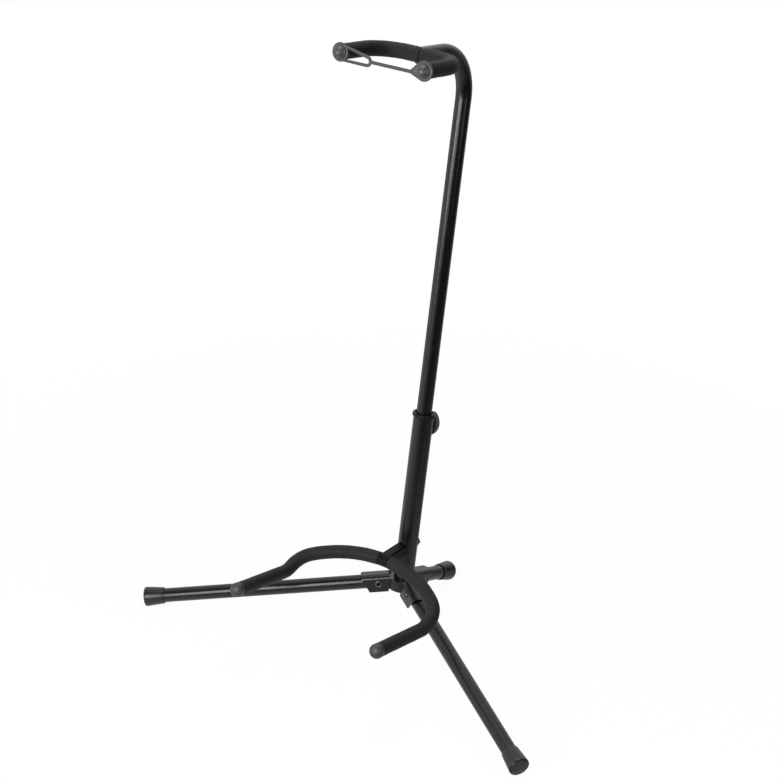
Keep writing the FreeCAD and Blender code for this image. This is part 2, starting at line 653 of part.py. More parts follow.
def strap_disc(across, radius):
    return Part.Face(Part.Wire(Part.makeCircle(radius, strap_point(across, 0.0), YOKE_WAY)))


def safety_strap():
    """Flat rubber strap: ring round the right cap, band, and a long loop over the left cap."""
    ring = STRAP_RING_DIAMETER / 2
    hole = YOKE_CAP_NECK_DIAMETER / 2 + AIR_GAP
    loop = STRAP_LOOP_WIDTH / 2
    loop_end = STRAP_LOOP_END_WIDTH / 2
    band = STRAP_BAND / 2
    wall = STRAP_BAND
    left = -YOKE_HALF_WIDTH
    loop_tip = left + STRAP_LOOP_LENGTH
    shoulder = loop_tip - loop_end
    drop_tip = YOKE_HALF_WIDTH - STRAP_TEARDROP
    side = ring * math.sqrt(1 - (ring / STRAP_TEARDROP) ** 2)
    along = YOKE_HALF_WIDTH - ring ** 2 / STRAP_TEARDROP
    sag = -STRAP_SAG
    teardrop = strap_outline([(drop_tip, sag - band), (along, -side), (along, side), (drop_tip, sag + band)])
    middle = strap_outline([(loop_tip - wall, sag - band), (drop_tip + wall, sag - band),
                            (drop_tip + wall, sag + band), (loop_tip - wall, sag + band)])
    loop_body = strap_outline([(left, -loop), (shoulder, sag - loop_end), (loop_tip, sag - band),
                               (loop_tip, sag + band), (shoulder, sag + loop_end), (left, loop)])
    slot = strap_outline([(left, -hole), (shoulder - wall / 2, sag - loop_end + wall),
                          (shoulder, sag), (shoulder - wall / 2, sag + loop_end - wall), (left, hole)])
    shape = strap_disc(YOKE_HALF_WIDTH, ring).multiFuse([teardrop, middle, loop_body, strap_disc(left, loop)])
    shape = shape.cut(strap_disc(YOKE_HALF_WIDTH, hole)).cut(strap_disc(left, hole)).cut(slot)
    return shape.removeSplitter().extrude(YOKE_WAY * STRAP_THICKNESS)


# Pieces by node name
PIECES = {
    "lower_tube": lower_tube(),
    "tube_collar": tube_collar(),
    "hub_drum": hub_drum(),
    "tube_plug": tube_plug(),
    "clamp_boss": clamp_boss(),
    "cradle_strut": cradle_strut(),
    "strut_stud": strut_stud(),
    "saddle_washer": saddle_washer(),
    "strut_nut": strut_nut(),
    "cradle_rod": cradle_rod(),
    "cradle_foam_right": cradle_foam(),
    "cradle_foam_left": mirrored(cradle_foam()),
    "cradle_cap_right": cradle_cap(),
    "cradle_cap_left": mirrored(cradle_cap()),
    "tube_glide": tube_glide(),
    "upper_tube": upper_tube(),
    "yoke_rod": yoke_rod(),
    "yoke_sleeve_right": yoke_sleeve(),
    "yoke_sleeve_left": mirrored(yoke_sleeve()),
    "yoke_cap_right": yoke_cap(),
    "yoke_cap_left": mirrored(yoke_cap()),
    "safety_strap": safety_strap(),
    "pressure_pad": pressure_pad(),
    "clamp_screw": clamp_screw(),
    "clamp_knob": clamp_knob(),
    "leg_rivets": Part.makeCompound([leg_rivet(turn) for turn in LEG_NAMES.values()]),
}
for name, turn in LEG_NAMES.items():
    PIECES[name + "_bracket"] = leg_bracket(turn)
    PIECES[name + "_leg_tube"] = leg_tube(LEG_REACH[name], turn)
    PIECES[name + "_foot"] = leg_foot(LEG_REACH[name], turn)


# Lean the mast back, stand the feet on the floor and centre the part over the origin

def stood(shape):
    shape = shape.copy()
    shape.rotate(ORIGIN, RIGHT, -MAST_LEAN)
    shape.translate(UP * HUB_HEIGHT)
    return shape


STOOD = {name: stood(shape) for name, shape in PIECES.items()}
BELOW_FLOOR = Part.makeBox(4 * FRONT_LEG_REACH, 4 * FRONT_LEG_REACH, FRONT_LEG_REACH,
                           Vector(-2 * FRONT_LEG_REACH, -2 * FRONT_LEG_REACH, -FRONT_LEG_REACH))
for name in LEG_NAMES:
    STOOD[name + "_foot"] = STOOD[name + "_foot"].cut(BELOW_FLOOR)
BOXES = [shape.optimalBoundingBox(False) for shape in STOOD.values()]
DEPTH_MIDDLE = (min(box.YMin for box in BOXES) + max(box.YMax for box in BOXES)) / 2

os.makedirs("parts", exist_ok=True)
for name, shape in STOOD.items():
    shape.translate(FORWARD * DEPTH_MIDDLE)
    shape.exportStep("parts/" + name + ".step")
    print(name, len(shape.Solids), round(shape.Volume, 1), shape.isValid())
print("hub height", round(HUB_HEIGHT, 2), "rear leg reach", round(REAR_LEG_REACH, 2),
      "depth middle", round(DEPTH_MIDDLE, 2))
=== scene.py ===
import math

import bpy
import numpy as np
from bpy.props import FloatProperty, FloatVectorProperty, PointerProperty
from mathutils import Matrix, Vector


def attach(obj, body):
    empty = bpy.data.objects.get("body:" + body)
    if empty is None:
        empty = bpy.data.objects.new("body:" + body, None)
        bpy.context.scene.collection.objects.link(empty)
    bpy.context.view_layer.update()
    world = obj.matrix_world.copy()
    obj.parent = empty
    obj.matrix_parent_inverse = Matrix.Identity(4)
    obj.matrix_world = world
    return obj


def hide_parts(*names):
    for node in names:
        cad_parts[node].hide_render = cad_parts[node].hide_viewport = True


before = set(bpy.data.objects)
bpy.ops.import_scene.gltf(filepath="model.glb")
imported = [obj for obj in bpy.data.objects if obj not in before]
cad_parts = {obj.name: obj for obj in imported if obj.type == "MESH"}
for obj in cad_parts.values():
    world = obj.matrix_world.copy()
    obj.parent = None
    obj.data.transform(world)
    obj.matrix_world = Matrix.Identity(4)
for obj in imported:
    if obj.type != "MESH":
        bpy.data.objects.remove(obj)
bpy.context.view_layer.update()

bl_info = {
    "name": "Guitar Stand Dressing",
    "version": (1, 0, 0),
    "blender": (4, 5, 0),
    "location": "View3D > Sidebar > Guitar Stand",
    "description": "Foam, rubber and painted finishes for a folding tripod guitar stand",
    "category": "Object",
}

RIGHT = np.array((1.0, 0.0, 0.0))
BACK = np.array((0.0, 1.0, 0.0))
UP = np.array((0.0, 0.0, 1.0))
SIDES = {"right": 1.0, "left": -1.0}
LEG_TURNS = {"left": -60.0, "right": 60.0, "rear": 180.0}

# Fineness of the meshes
AROUND = 64
AROUND_NECK = 96
AROUND_FOOT = 96
AROUND_COLLAR = 80
AROUND_RIVET = 40
AROUND_LOOP = 160
CORNER_STEPS = 7
EDGE_STEPS = 8
NOSE_STEPS = 24
CURL_STEPS = 14
SECTION_STEPS = 24
BAND_STEPS = 24
FEWEST_BEND_STEPS = 8
BEND_STEPS_PER_DEGREE = 2
SAME_POINT = 1e-9
SHARP_EDGE = math.radians(50)
LARGEST_ROUNDING = 0.48

# Foam: bore round the rod, gaps, soft edges, swell, and the waves of the swell. Each wave is its
# weight, its rate along the sleeve in radians per metre, its lobes round the sleeve and its phase
ROD_BORE = 0.00405
STRUT_GAP = 0.0004
CAP_GAP = 0.0001
NECK_GAP = 0.0001
NECK_BEHIND = 0.030
CRADLE_EDGE = 0.0014
CRADLE_SWELL = 0.00012
YOKE_EDGE = 0.0012
YOKE_SWELL = 0.0001
YOKE_SEED = 4
FOAM_STEP = 0.0015
FOAM_WAVES = ((1.0, 190.0, 2.0, 1.0), (1.0, 310.0, -3.0, 2.0), (0.7, 620.0, 5.0, 3.0))

# Caps of the cradle: solid rubber past the rod, length of the nose, rounding of the rim
CAP_SOLID = 0.004
CAP_NOSE = 0.0068
CAP_RIM = 0.0006

# Caps of the yoke
CAP_SOCKET = 0.00305
CAP_SEAT = 0.00005
FLANGE_RADIUS = 0.0093
WAIST_RADIUS = 0.0063
BUTTON_RADIUS = 0.0076
BUTTON_WALL = 0.0012
BUTTON_DOME_RADIUS = 0.0070
BUTTON_DOME_RISE = 0.0056
BUTTON_DOME_STEPS = 24

# Safety strap
STRAP_HOLE = 0.0066
STRAP_RING = 0.011
STRAP_TAPER = 0.0165
LOOP_RADIUS = 0.0095
LOOP_END = 0.0062
LOOP_END_HOLE = 0.0027
LOOP_RIM = 0.0105
LOOP_RIM_HOLE = 0.0068
LOOP_RIM_SHARE = 1.06
BAND_SHARE = 0.96
BAND_OVERLAP = 0.002
SECTION_POWER = 0.75

# Feet and collar: distance past the leg's reach or the tube's end, radius, rounding of the corner
FOOT_OUTLINE = (
    (-0.0040, 0.0, 0.0),
    (-0.0040, 0.00905, 0.0),
    (-0.0250, 0.00905, 0.0003),
    (-0.0250, 0.0104, 0.0006),
    (-0.0018, 0.0126, 0.0008),
    (-0.0003, 0.0121, 0.0003),
    (-0.0014, 0.0118, 0.0001),
    (-0.0014, 0.0114, 0.0001),
    (0.0004, 0.0113, 0.0005),
    (0.0004, 0.0, 0.0),
)
FOOT_DOME_RADIUS = 0.0108
FOOT_DOME_RISE = 0.0011
FOOT_DOME_STEPS = 14
TUBE_END = 0.225
COLLAR_OUTLINE = (
    (-0.0100, 0.00957, 0.0),
    (-0.0100, 0.01094, 0.0),
    (0.00005, 0.01094, 0.0),
    (0.00005, 0.01256, 0.0),
    (-0.0024, 0.01256, 0.0),
    (-0.0024, 0.0132, 0.0003),
    (-0.0012, 0.0142, 0.0006),
    (0.0026, 0.0142, 0.0016),
    (0.0026, 0.01095, 0.0009),
    (0.00085, 0.0109, 0.0003),
    (0.00085, 0.00957, 0.0),
)

# Leg rivets
RIVET_HALF = 0.0109
RIVET_CURL = 0.0015
RIVET_CURL_MIDDLE = 0.0033
RIVET_BORE = 0.0030

# Finishes: colour, roughness, grain size, bump, specular level, change of roughness and of colour
# where the surface is handled, and what else it has
FINISHES = {
    "powder_coat_finish": ("paint", 0.26, 0.0011, 0.002, 0.50, (0.03, 0.20), {}),
    "foam_finish": ("foam", 0.64, 0.0006, 0.050, 0.42, (0.06, 0.15), {"coarse": 0.8, "cells": 0.0011}),
    "cap_rubber_finish": ("cap_rubber", 0.52, 0.0007, 0.006, 0.90, (0.04, 0.20), {}),
    "button_rubber_finish": ("button_rubber", 0.50, 0.0007, 0.006, 1.00, (0.04, 0.20), {}),
    "strap_rubber_finish": ("strap_rubber", 0.42, 0.0006, 0.020, 0.50, (0.06, 0.15), {}),
    "foot_rubber_finish": ("foot_rubber", 0.30, 0.0008, 0.006, 0.50, (0.06, 0.25), {}),
    "plastic_finish": ("plastic", 0.40, 0.0005, 0.010, 0.22, (0.06, 0.15), {}),
    # the knob's finish is lighter than the collar's plastic: painted highlight for the knob's bright rim
    "knob_highlight_plastic_finish": ("knob_plastic", 0.48, 0.0006, 0.010, 0.50, (0.06, 0.20), {}),
    "strut_plastic_finish": ("strut_plastic", 0.46, 0.0006, 0.010, 0.14, (0.06, 0.20), {}),
    "plating_finish": ("plating", 0.36, 0.0004, 0.030, 0.50, (0.12, 0.10), {"metallic": 1.0}),
}
CAD_FINISHES = {
    "powder_coat_finish": [
        "lower_tube", "upper_tube", "hub_drum", "cradle_rod", "yoke_rod", "clamp_boss",
        "left_bracket", "right_bracket", "rear_bracket",
        "left_leg_tube", "right_leg_tube", "rear_leg_tube"],
    "plastic_finish": ["tube_plug", "tube_glide", "saddle_washer", "pressure_pad"],
    "knob_highlight_plastic_finish": ["clamp_knob"],
    "strut_plastic_finish": ["cradle_strut"],
    "plating_finish": ["strut_stud", "strut_nut", "clamp_screw"],
}
GRAIN_SIZE = 0.0008
GRAIN_COARSE = 0.4
GRAIN_COARSE_RATE = 0.22
SMUDGE_SCALE = 28.0
SCUFF_SCALE = 140.0
SCUFF_STRETCH = (1.0, 1.0, 0.12)
SCUFF_TURN = (0.5, 0.3, 0.9)
PATCH_SCALE = 9.0
PORE_SHARE = 0.9
RELIEF_SHARE = 0.4

# Ramps: value at the start, value at the end, result at the start, result at the end
SMUDGE_RAMP = (0.42, 0.68, 0.0, 1.0)
SCUFF_RAMP = (0.62, 0.70, 0.0, 1.0)
PATCH_RAMP = (0.3, 0.7, 0.86, 1.14)
FLOOR_TO_DIM_SIDE = (-0.2, 1.1, 0.95, 0.02)
# painted shadow: the floor as glossy and transmission rays see it darkens to 0.45 from 0.05 m to 0.20 m
# behind the middle and stays so beyond, standing in for the stand's own shadow
FLOOR_SHADOW_TO_BACK = (0.05, 0.20, 1.0, 0.45)
FLOOR_FROM_MIDDLE = (0.40, 0.90, 0.95, 1.0)
WALL_TO_DIM_SIDE = (-0.58, 0.15, 1.0, 0.02)

# Studio: the lamps' place, the point they face, width and height, watts
LAMPS = {
    "top_softbox": ((-0.10, 0.10, 2.00), (0.0, 0.05, 0.30), (0.6, 0.6), 9.0),
    "front_softbox": ((0.25, -1.65, 1.00), (-0.15, -0.05, 0.05), (0.5, 1.0), 17.0),
    "front_strip": ((-0.49, -1.84, 0.75), (0.0, 0.10, 0.65), (0.5, 0.66), 14.0),
    "right_softbox": ((1.48, -0.25, 0.86), (0.0, 0.0, 0.60), (0.8, 0.5), 7.0),
}
DIM_SIDE = (0.906, -0.423, 0.0)
FILL_LEVEL = 0.35
FLOOR_REACH = 9.0
FLOOR_LEVEL = -0.0002

# Camera solved from the photograph: degrees, metres, and millimetres for the lens and the sensor
CAMERA_TURN = 35.301
CAMERA_RISE = 28.980
CAMERA_ROLL = 0.198
CAMERA_AIM = (-0.01991, 0.04268, 0.32139)
CAMERA_SHIFT = 0.0003
CAMERA_AWAY = 2.132
CAMERA_LENS = 81.47
CAMERA_SENSOR = 36.0
CAMERA_NEAR = 0.05
CAMERA_FAR = 60.0


# Sizes and colours that a user would change

def length(label, words, default):
    return FloatProperty(name=label, description=words, default=default, unit="LENGTH", precision=4)


def angle(label, words, default):
    return FloatProperty(name=label, description=words, default=math.radians(default), unit="ROTATION")


def colour(label, words, default):
    return FloatVectorProperty(name=label, description=words, default=default, subtype="COLOR",
                               size=3, min=0.0, max=1.0)


class StandStance(bpy.types.PropertyGroup):
    """Where the mast's own frame stands in the part."""
    lean: angle("Mast lean", "Angle of the mast behind the vertical", 10.6)
    hub_depth: length("Hub depth", "Distance of the hub's middle behind the origin", 0.04268)
    hub_height: length("Hub height", "Height of the hub's middle above the floor", 0.05608)
    leg_drop: angle("Leg drop", "Fall of each leg below a plane square to the mast", 13.0)
    front_reach: length("Front reach", "Mast axis to the rim of a front foot", 0.336)
    rear_reach: length("Rear reach", "Mast axis to the rim of the rear foot", 0.11319)
    pivot_reach: length("Pivot reach", "Mast axis to a leg's rivet", 0.031)


class CradleSizes(bpy.types.PropertyGroup):
    """Foam-covered cradle under the guitar's body."""
    forward: length("Forward", "Mast axis to the middle of the cradle", 0.0485)
    rise: length("Rise", "Height of the cradle's middle on the mast", 0.042)
    tilt: angle("Tilt", "Fall of the back of the cradle towards the front", 28.0)
    back_radius: length("Back radius", "Radius of the wide back", 0.1455)
    back_angle: angle("Back angle", "Half the sweep of the wide back", 38.0)
    corner_radius: length("Corner radius", "Radius of each corner", 0.036)
    lift: angle("Lift", "Bend of each arm up from the plane of the back", 32.6)
    lift_radius: length("Lift radius", "Radius of the bend up", 0.030)
    arm: length("Arm", "Straight length of each arm", 0.096)
    foam_radius: length("Foam radius", "Outer radius of the foam", 0.0086)
    cap_radius: length("Cap radius", "Outer radius of the end caps", 0.0088)
    cap_length: length("Cap length", "Straight length of the end caps", 0.009)
    half_strut: length("Half strut", "Half the width of the strut", 0.007)


class YokeSizes(bpy.types.PropertyGroup):
    """Padded yoke that holds the guitar's neck, and the strap across it."""
    bend_start: length("Bend start", "Height on the mast where the tube bends forward", 0.617)
    bend_radius: length("Bend radius", "Radius of the tube's bend", 0.057)
    bend_angle: angle("Bend angle", "Sweep of the tube's bend", 90.5)
    neck: length("Neck", "End of the bend to the yoke's rod", 0.040)
    neck_radius: length("Neck radius", "Outer radius of the upper tube", 0.0095)
    half_width: length("Half width", "Middle plane to each arm", 0.0546)
    corner_radius: length("Corner radius", "Radius of the yoke's corners", 0.0346)
    arm: length("Arm", "Back of the yoke to the end of a sleeve", 0.073)
    sleeve_radius: length("Sleeve radius", "Outer radius of the foam sleeves", 0.0089)
    sleeve_start: length("Sleeve start", "Middle plane to the inner end of a sleeve", 0.00008)
    neck_past: length("Neck past rod", "Yoke's rod to the end of the upper tube", 0.0060)
    flange: length("Flange", "Thickness of a cap's flange", 0.0024)
    waist: length("Waist", "Room for the strap behind a cap's button", 0.0032)
    strap_width: length("Strap width", "Width of the strap's band", 0.0038)
    strap_thickness: length("Strap thickness", "Thickness of the strap", 0.0026)
    strap_sag: length("Strap sag", "Drop of the band below the caps", 0.0035)
    loop_length: length("Loop length", "Left cap to the end of the strap's loop", 0.042)


class FinishColours(bpy.types.PropertyGroup):
    """Linear base colours of the finishes."""
    paint: colour("Paint", "Black powder coat of the tubes", (0.0020, 0.0020, 0.0021))
    foam: colour("Foam", "Closed-cell foam sleeves", (0.0030, 0.0030, 0.0031))
    cap_rubber: colour("Cap rubber", "Caps of the cradle", (0.0120, 0.0120, 0.0122))
    button_rubber: colour("Button rubber", "Caps of the yoke", (0.0240, 0.0240, 0.0245))
    strap_rubber: colour("Strap rubber", "Safety strap", (0.0430, 0.0430, 0.0438))
    foot_rubber: colour("Foot rubber", "Feet", (0.0080, 0.0080, 0.0082))
    plastic: colour("Plastic", "Collar and guide pieces", (0.0035, 0.0035, 0.0037))
    # painted highlight: the knob's plastic is set lighter grey than the collar's so that its rim reads
    # bright
    knob_plastic: colour("Knob plastic", "Clamp knob", (0.0600, 0.0600, 0.0608))
    strut_plastic: colour("Strut plastic", "Strut that carries the cradle", (0.0016, 0.0016, 0.0017))
    plating: colour("Plating", "Zinc-plated rivets, screw, stud and nut", (0.11, 0.11, 0.12))
    floor: colour("Floor", "Studio floor as it lights the part", (0.50, 0.50, 0.50))
    backdrop: colour("Backdrop", "Studio floor as it is seen", (0.95, 0.95, 0.95))


def stance():
    return bpy.context.scene.stand_stance


def cradle():
    return bpy.context.scene.stand_cradle


def yoke():
    return bpy.context.scene.stand_yoke


def finishes():
    return bpy.context.scene.stand_colours


# Places

def about_x(turn):
    return np.array(Matrix.Rotation(turn, 3, "X"))


def about_z(turn):
    return np.array(Matrix.Rotation(turn, 3, "Z"))


def stood(points):
    """Points of the mast's frame in the part's frame: leaned back about X, then lifted to the hub."""
    place = stance()
    return points @ about_x(-place.lean).T + np.array((0.0, place.hub_depth, place.hub_height))


def on_leg(points, turn):
    """Points drawn for a level leg along -Y: dropped, turned round the mast, then stood up."""
    swing = about_z(math.radians(turn)) @ about_x(stance().leg_drop)
    return stood(points @ swing.T)


# Surfaces

def turned_by(vectors, axis, angles):
    """Rodrigues turn: v cos a + (k x v) sin a + k (k.v)(1 - cos a), for an array of angles."""
    cosine = np.cos(angles)[:, None]
    sine = np.sin(angles)[:, None]
    along = axis * (vectors @ axis)
    return vectors * cosine + np.cross(axis, vectors) * sine + along * (1.0 - cosine)


class Route:
    """A centre line of straight runs and tangent arcs, with two cross directions carried along it."""

    def __init__(self, start, direction, across):
        self.point = np.array(start, float)
        self.along = np.array(direction, float)
        self.across = np.array(across, float)
        self.total = 0.0
        self.rows = []

    def note(self, distances, points, along, across):
        self.rows.append(np.column_stack([distances + self.total, points, along, across]))
        self.total += distances[-1]
        self.point, self.along, self.across = points[-1], along[-1], across[-1]
        return self

    def run(self, size):
        """Straight run: p + d s."""
        steps = np.linspace(0.0, size, 3)
        points = self.point + np.outer(steps, self.along)
        return self.note(steps, points, np.tile(self.along, (3, 1)), np.tile(self.across, (3, 1)))

    def bend(self, radius, sweep, axis):
        """Arc about an axis through c = p + (k x d) r: every vector turns by s / r."""
        steps = max(FEWEST_BEND_STEPS, int(math.degrees(sweep) * BEND_STEPS_PER_DEGREE))
        turns = np.linspace(0.0, sweep, steps)
        centre = self.point + np.cross(axis, self.along) * radius
        points = centre + turned_by(self.point - centre, axis, turns)
        return self.note(turns * radius, points, turned_by(self.along, axis, turns),
                         turned_by(self.across, axis, turns))

    def at(self, distances):
        """Centres, cross directions and third directions at the given distances along the line."""
        rows = np.concatenate(self.rows)
        found = np.column_stack([np.interp(distances, rows[:, 0], column) for column in rows[:, 1:].T])
        along = found[:, 3:6] / np.linalg.norm(found[:, 3:6], axis=1, keepdims=True)
        across = found[:, 6:9] / np.linalg.norm(found[:, 6:9], axis=1, keepdims=True)
        return found[:, 0:3], across, np.cross(along, across)


def rounded(outline):
    """Outline of (distance, radius, rounding) rows with its corners replaced by curves: quadratic
    ones between the two points that lie one rounding from a corner along its sides."""
    outline = np.array(outline, float)
    corners = outline[:, 0:2]
    before = np.roll(corners, 1, axis=0) - corners
    after = np.roll(corners, -1, axis=0) - corners
    before_size = np.linalg.norm(before, axis=1)
    after_size = np.linalg.norm(after, axis=1)
    reach = np.minimum(outline[:, 2], LARGEST_ROUNDING * np.minimum(before_size, after_size))
    first = corners + before / before_size[:, None] * reach[:, None]
    last = corners + after / after_size[:, None] * reach[:, None]
    share = np.linspace(0.0, 1.0, CORNER_STEPS)[None, :, None]
    curve = (first[:, None] * (1 - share) ** 2 + 2 * corners[:, None] * share * (1 - share)
             + last[:, None] * share ** 2)
    return curve.reshape(-1, 2)


def open_outline(outline):
    """Rounded outline from its first corner up to its last corner, which is left out."""
    return rounded(outline)[CORNER_STEPS - 1:-CORNER_STEPS]


def swept(route, profile, swell):
    """Surface P(u, v) = c(s) + r (cos v n + sin v b): a closed profile of (distance, radius) points
    carried round the route's line. swell(s, v, r) is added to r."""
    turn = np.tile(np.linspace(0.0, 2.0 * np.pi, AROUND, endpoint=False), (len(profile), 1))
    distance = np.repeat(profile[:, 0:1], AROUND, axis=1)
    radius = np.repeat(profile[:, 1:2], AROUND, axis=1)
    radius = radius + swell(distance, turn, radius)
    centres, across, third = route.at(distance.ravel())
    ring = across * np.cos(turn).reshape(-1, 1) + third * np.sin(turn).reshape(-1, 1)
    return (centres + ring * radius.reshape(-1, 1)).reshape(len(profile), AROUND, 3)


def lathed(profile, around=AROUND):
    """Surface of revolution about +Z: P(u, v) = (r cos v, r sin v, z) for (z, r) points. A point
    that repeats the one before it is left out."""
    moved = np.linalg.norm(np.diff(profile, axis=0), axis=1) > SAME_POINT
    profile = profile[np.concatenate([[True], moved])]
    angles = np.linspace(0.0, 2.0 * np.pi, around, endpoint=False)
    height, radius = profile[:, 0], profile[:, 1]
    return np.stack([radius[:, None] * np.cos(angles), radius[:, None] * np.sin(angles),
                     np.repeat(height[:, None], around, axis=1)], axis=2)


def aimed(grid, start, direction):
    """Turn a surface drawn about +Z so that it starts at a point and follows a direction."""
    turn = np.array(Vector((0, 0, 1)).rotation_difference(Vector(direction)).to_matrix())
    return grid @ turn.T + np.array(start)


def grid_faces(rows, columns, loop):
    """Quads of a grid that closes on itself in v, and in u as well where loop is set."""
    last = rows if loop else rows - 1
    row, column = np.meshgrid(np.arange(last), np.arange(columns), indexing="ij")
    below = (row + 1) % rows
    beside = (column + 1) % columns
    quads = np.stack([row * columns + column, row * columns + beside,
                      below * columns + beside, below * columns + column], axis=2)
    return quads.reshape(-1, 4)


class Shell:
    """Closed surfaces gathered into one mesh."""

    def __init__(self):
        self.points = []
        self.faces = []
        self.count = 0

    def add(self, grid, loop):
        """Add a grid surface. With loop the profile closes on itself; without it the first and
        the last row each shrink to one point, which closes the surface."""
        if not loop:
            ends = np.stack([grid[0].mean(axis=0), grid[-1].mean(axis=0)])
            grid = grid[np.ptp(grid, axis=1).max(axis=1) > SAME_POINT]
        rows, columns = grid.shape[:2]
        points = grid.reshape(-1, 3)
        faces = grid_faces(rows, columns, loop)
        volume = signed_volume(points, faces)
        if not loop:
            pole_first = rows * columns
            points = np.concatenate([points, ends])
            step = np.arange(columns)
            beside = (step + 1) % columns
            last_row = (rows - 1) * columns
            first_cap = np.stack([np.full(columns, pole_first), beside, step], axis=1)
            last_cap = np.stack([np.full(columns, pole_first + 1), last_row + step, last_row + beside],
                                axis=1)
            caps = np.concatenate([first_cap, last_cap])
            volume = volume + signed_volume(points, caps)
        if volume < 0:
            faces = faces[:, ::-1]
            if not loop:
                caps = caps[:, ::-1]
        self.faces.extend((faces + self.count).tolist())
        if not loop:
            self.faces.extend((caps + self.count).tolist())
        self.points.append(points)
        self.count += len(points)
        return self

    def built(self, name, finish, body, slot, *nodes):
        """Make the object, give it its finish and let it stand for its CAD nodes."""
        mesh = bpy.data.meshes.new(name)
        mesh.from_pydata(np.concatenate(self.points), [], self.faces)
        smooth(mesh)
        mesh.validate()
        mesh.update()
        piece = bpy.data.objects.new(name, mesh)
        bpy.context.scene.collection.objects.link(piece)
        mesh.materials.append(finish_of(finish))
        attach(piece, body)
        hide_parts(*nodes)
        return piece


def smooth(mesh):
    """Smooth shading, except across sharp edges."""
    mesh.polygons.foreach_set("use_smooth", np.ones(len(mesh.polygons), dtype=bool))
    mesh.set_sharp_from_angle(angle=SHARP_EDGE)


def signed_volume(points, faces):
    """Sum of the tetrahedra from the origin to each face's fan of triangles, divided by six."""
    corners = points[faces]
    total = 0.0
    for index in range(1, faces.shape[1] - 1):
        first, second, third = corners[:, 0], corners[:, index], corners[:, index + 1]
        total += np.einsum("ij,ij->i", first, np.cross(second, third)).sum()
    return total / 6.0


# Finishes

class Nodes:
    """A node tree and short ways to build it."""

    def __init__(self, tree):
        self.tree = tree

    def add(self, kind, **values):
        node = self.tree.nodes.new(kind)
        for name, value in values.items():
            setattr(node, name, value)
        return node

    def link(self, source, target):
        self.tree.links.new(source, target)

    def feed(self, socket, value):
        """Set a socket to a number, or link another socket to it."""
        if isinstance(value, (int, float)):
            socket.default_value = value
        else:
            self.link(value, socket)

    def noise(self, vector, scale, detail):
        node = self.add("ShaderNodeTexNoise")
        node.inputs["Detail"].default_value = detail
        self.feed(node.inputs["Scale"], scale)
        self.link(vector, node.inputs["Vector"])
        return node.outputs["Fac"]

    def ramp(self, value, low, high, to_low, to_high):
        node = self.add("ShaderNodeMapRange")
        for name, number in (("From Min", low), ("From Max", high), ("To Min", to_low), ("To Max", to_high)):
            node.inputs[name].default_value = number
        self.link(value, node.inputs["Value"])
        return node.outputs["Result"]

    def math(self, operation, first, second):
        node = self.add("ShaderNodeMath", operation=operation)
        for socket, value in zip(node.inputs, (first, second)):
            self.feed(socket, value)
        return node.outputs["Value"]


def node_group(name, inputs, outputs):
    """Shader node group with named float or vector sockets."""
    group = bpy.data.node_groups.new(name, "ShaderNodeTree")
    for label, kind, default in inputs:
        socket = group.interface.new_socket(label, in_out="INPUT", socket_type=kind)
        if default is not None:
            socket.default_value = default
    for label, kind in outputs:
        group.interface.new_socket(label, in_out="OUTPUT", socket_type=kind)
    kit = Nodes(group)
    return group, kit, kit.add("NodeGroupInput"), kit.add("NodeGroupOutput")


def grain_group():
    """Fine moulded or sprayed grain: two sizes of noise added into one height."""
    group, kit, given, result = node_group(
        "Surface Grain",
        [("Vector", "NodeSocketVector", None), ("Size", "NodeSocketFloat", GRAIN_SIZE),
         ("Coarse Share", "NodeSocketFloat", GRAIN_COARSE)],
        [("Height", "NodeSocketFloat")])
    scale = kit.math("DIVIDE", 1.0, given.outputs["Size"])
    fine = kit.noise(given.outputs["Vector"], scale, 2.0)
    coarse = kit.noise(given.outputs["Vector"], kit.math("MULTIPLY", scale, GRAIN_COARSE_RATE), 1.0)
    share = kit.math("MULTIPLY", coarse, given.outputs["Coarse Share"])
    kit.link(kit.math("ADD", fine, share), result.inputs["Height"])
    return group


def handling_group():
    """Marks of use: soft smudges and thin scuffs, as one mask from 0 to 1."""
    group, kit, given, result = node_group(
        "Handling Marks",
        [("Vector", "NodeSocketVector", None), ("Smudge Scale", "NodeSocketFloat", SMUDGE_SCALE),
         ("Scuff Scale", "NodeSocketFloat", SCUFF_SCALE)],
        [("Mask", "NodeSocketFloat")])
    smudge = kit.noise(given.outputs["Vector"], given.outputs["Smudge Scale"], 4.0)
    stretched = kit.add("ShaderNodeMapping")
    stretched.inputs["Scale"].default_value = SCUFF_STRETCH
    stretched.inputs["Rotation"].default_value = SCUFF_TURN
    kit.link(given.outputs["Vector"], stretched.inputs["Vector"])
    scuff = kit.noise(stretched.outputs["Vector"], given.outputs["Scuff Scale"], 5.0)
    mask = kit.math("MAXIMUM", kit.ramp(smudge, *SMUDGE_RAMP), kit.ramp(scuff, *SCUFF_RAMP))
    kit.link(mask, result.inputs["Mask"])
    return group


def shared_group(name):
    makers = {"Surface Grain": grain_group, "Handling Marks": handling_group}
    return bpy.data.node_groups.get(name) or makers[name]()


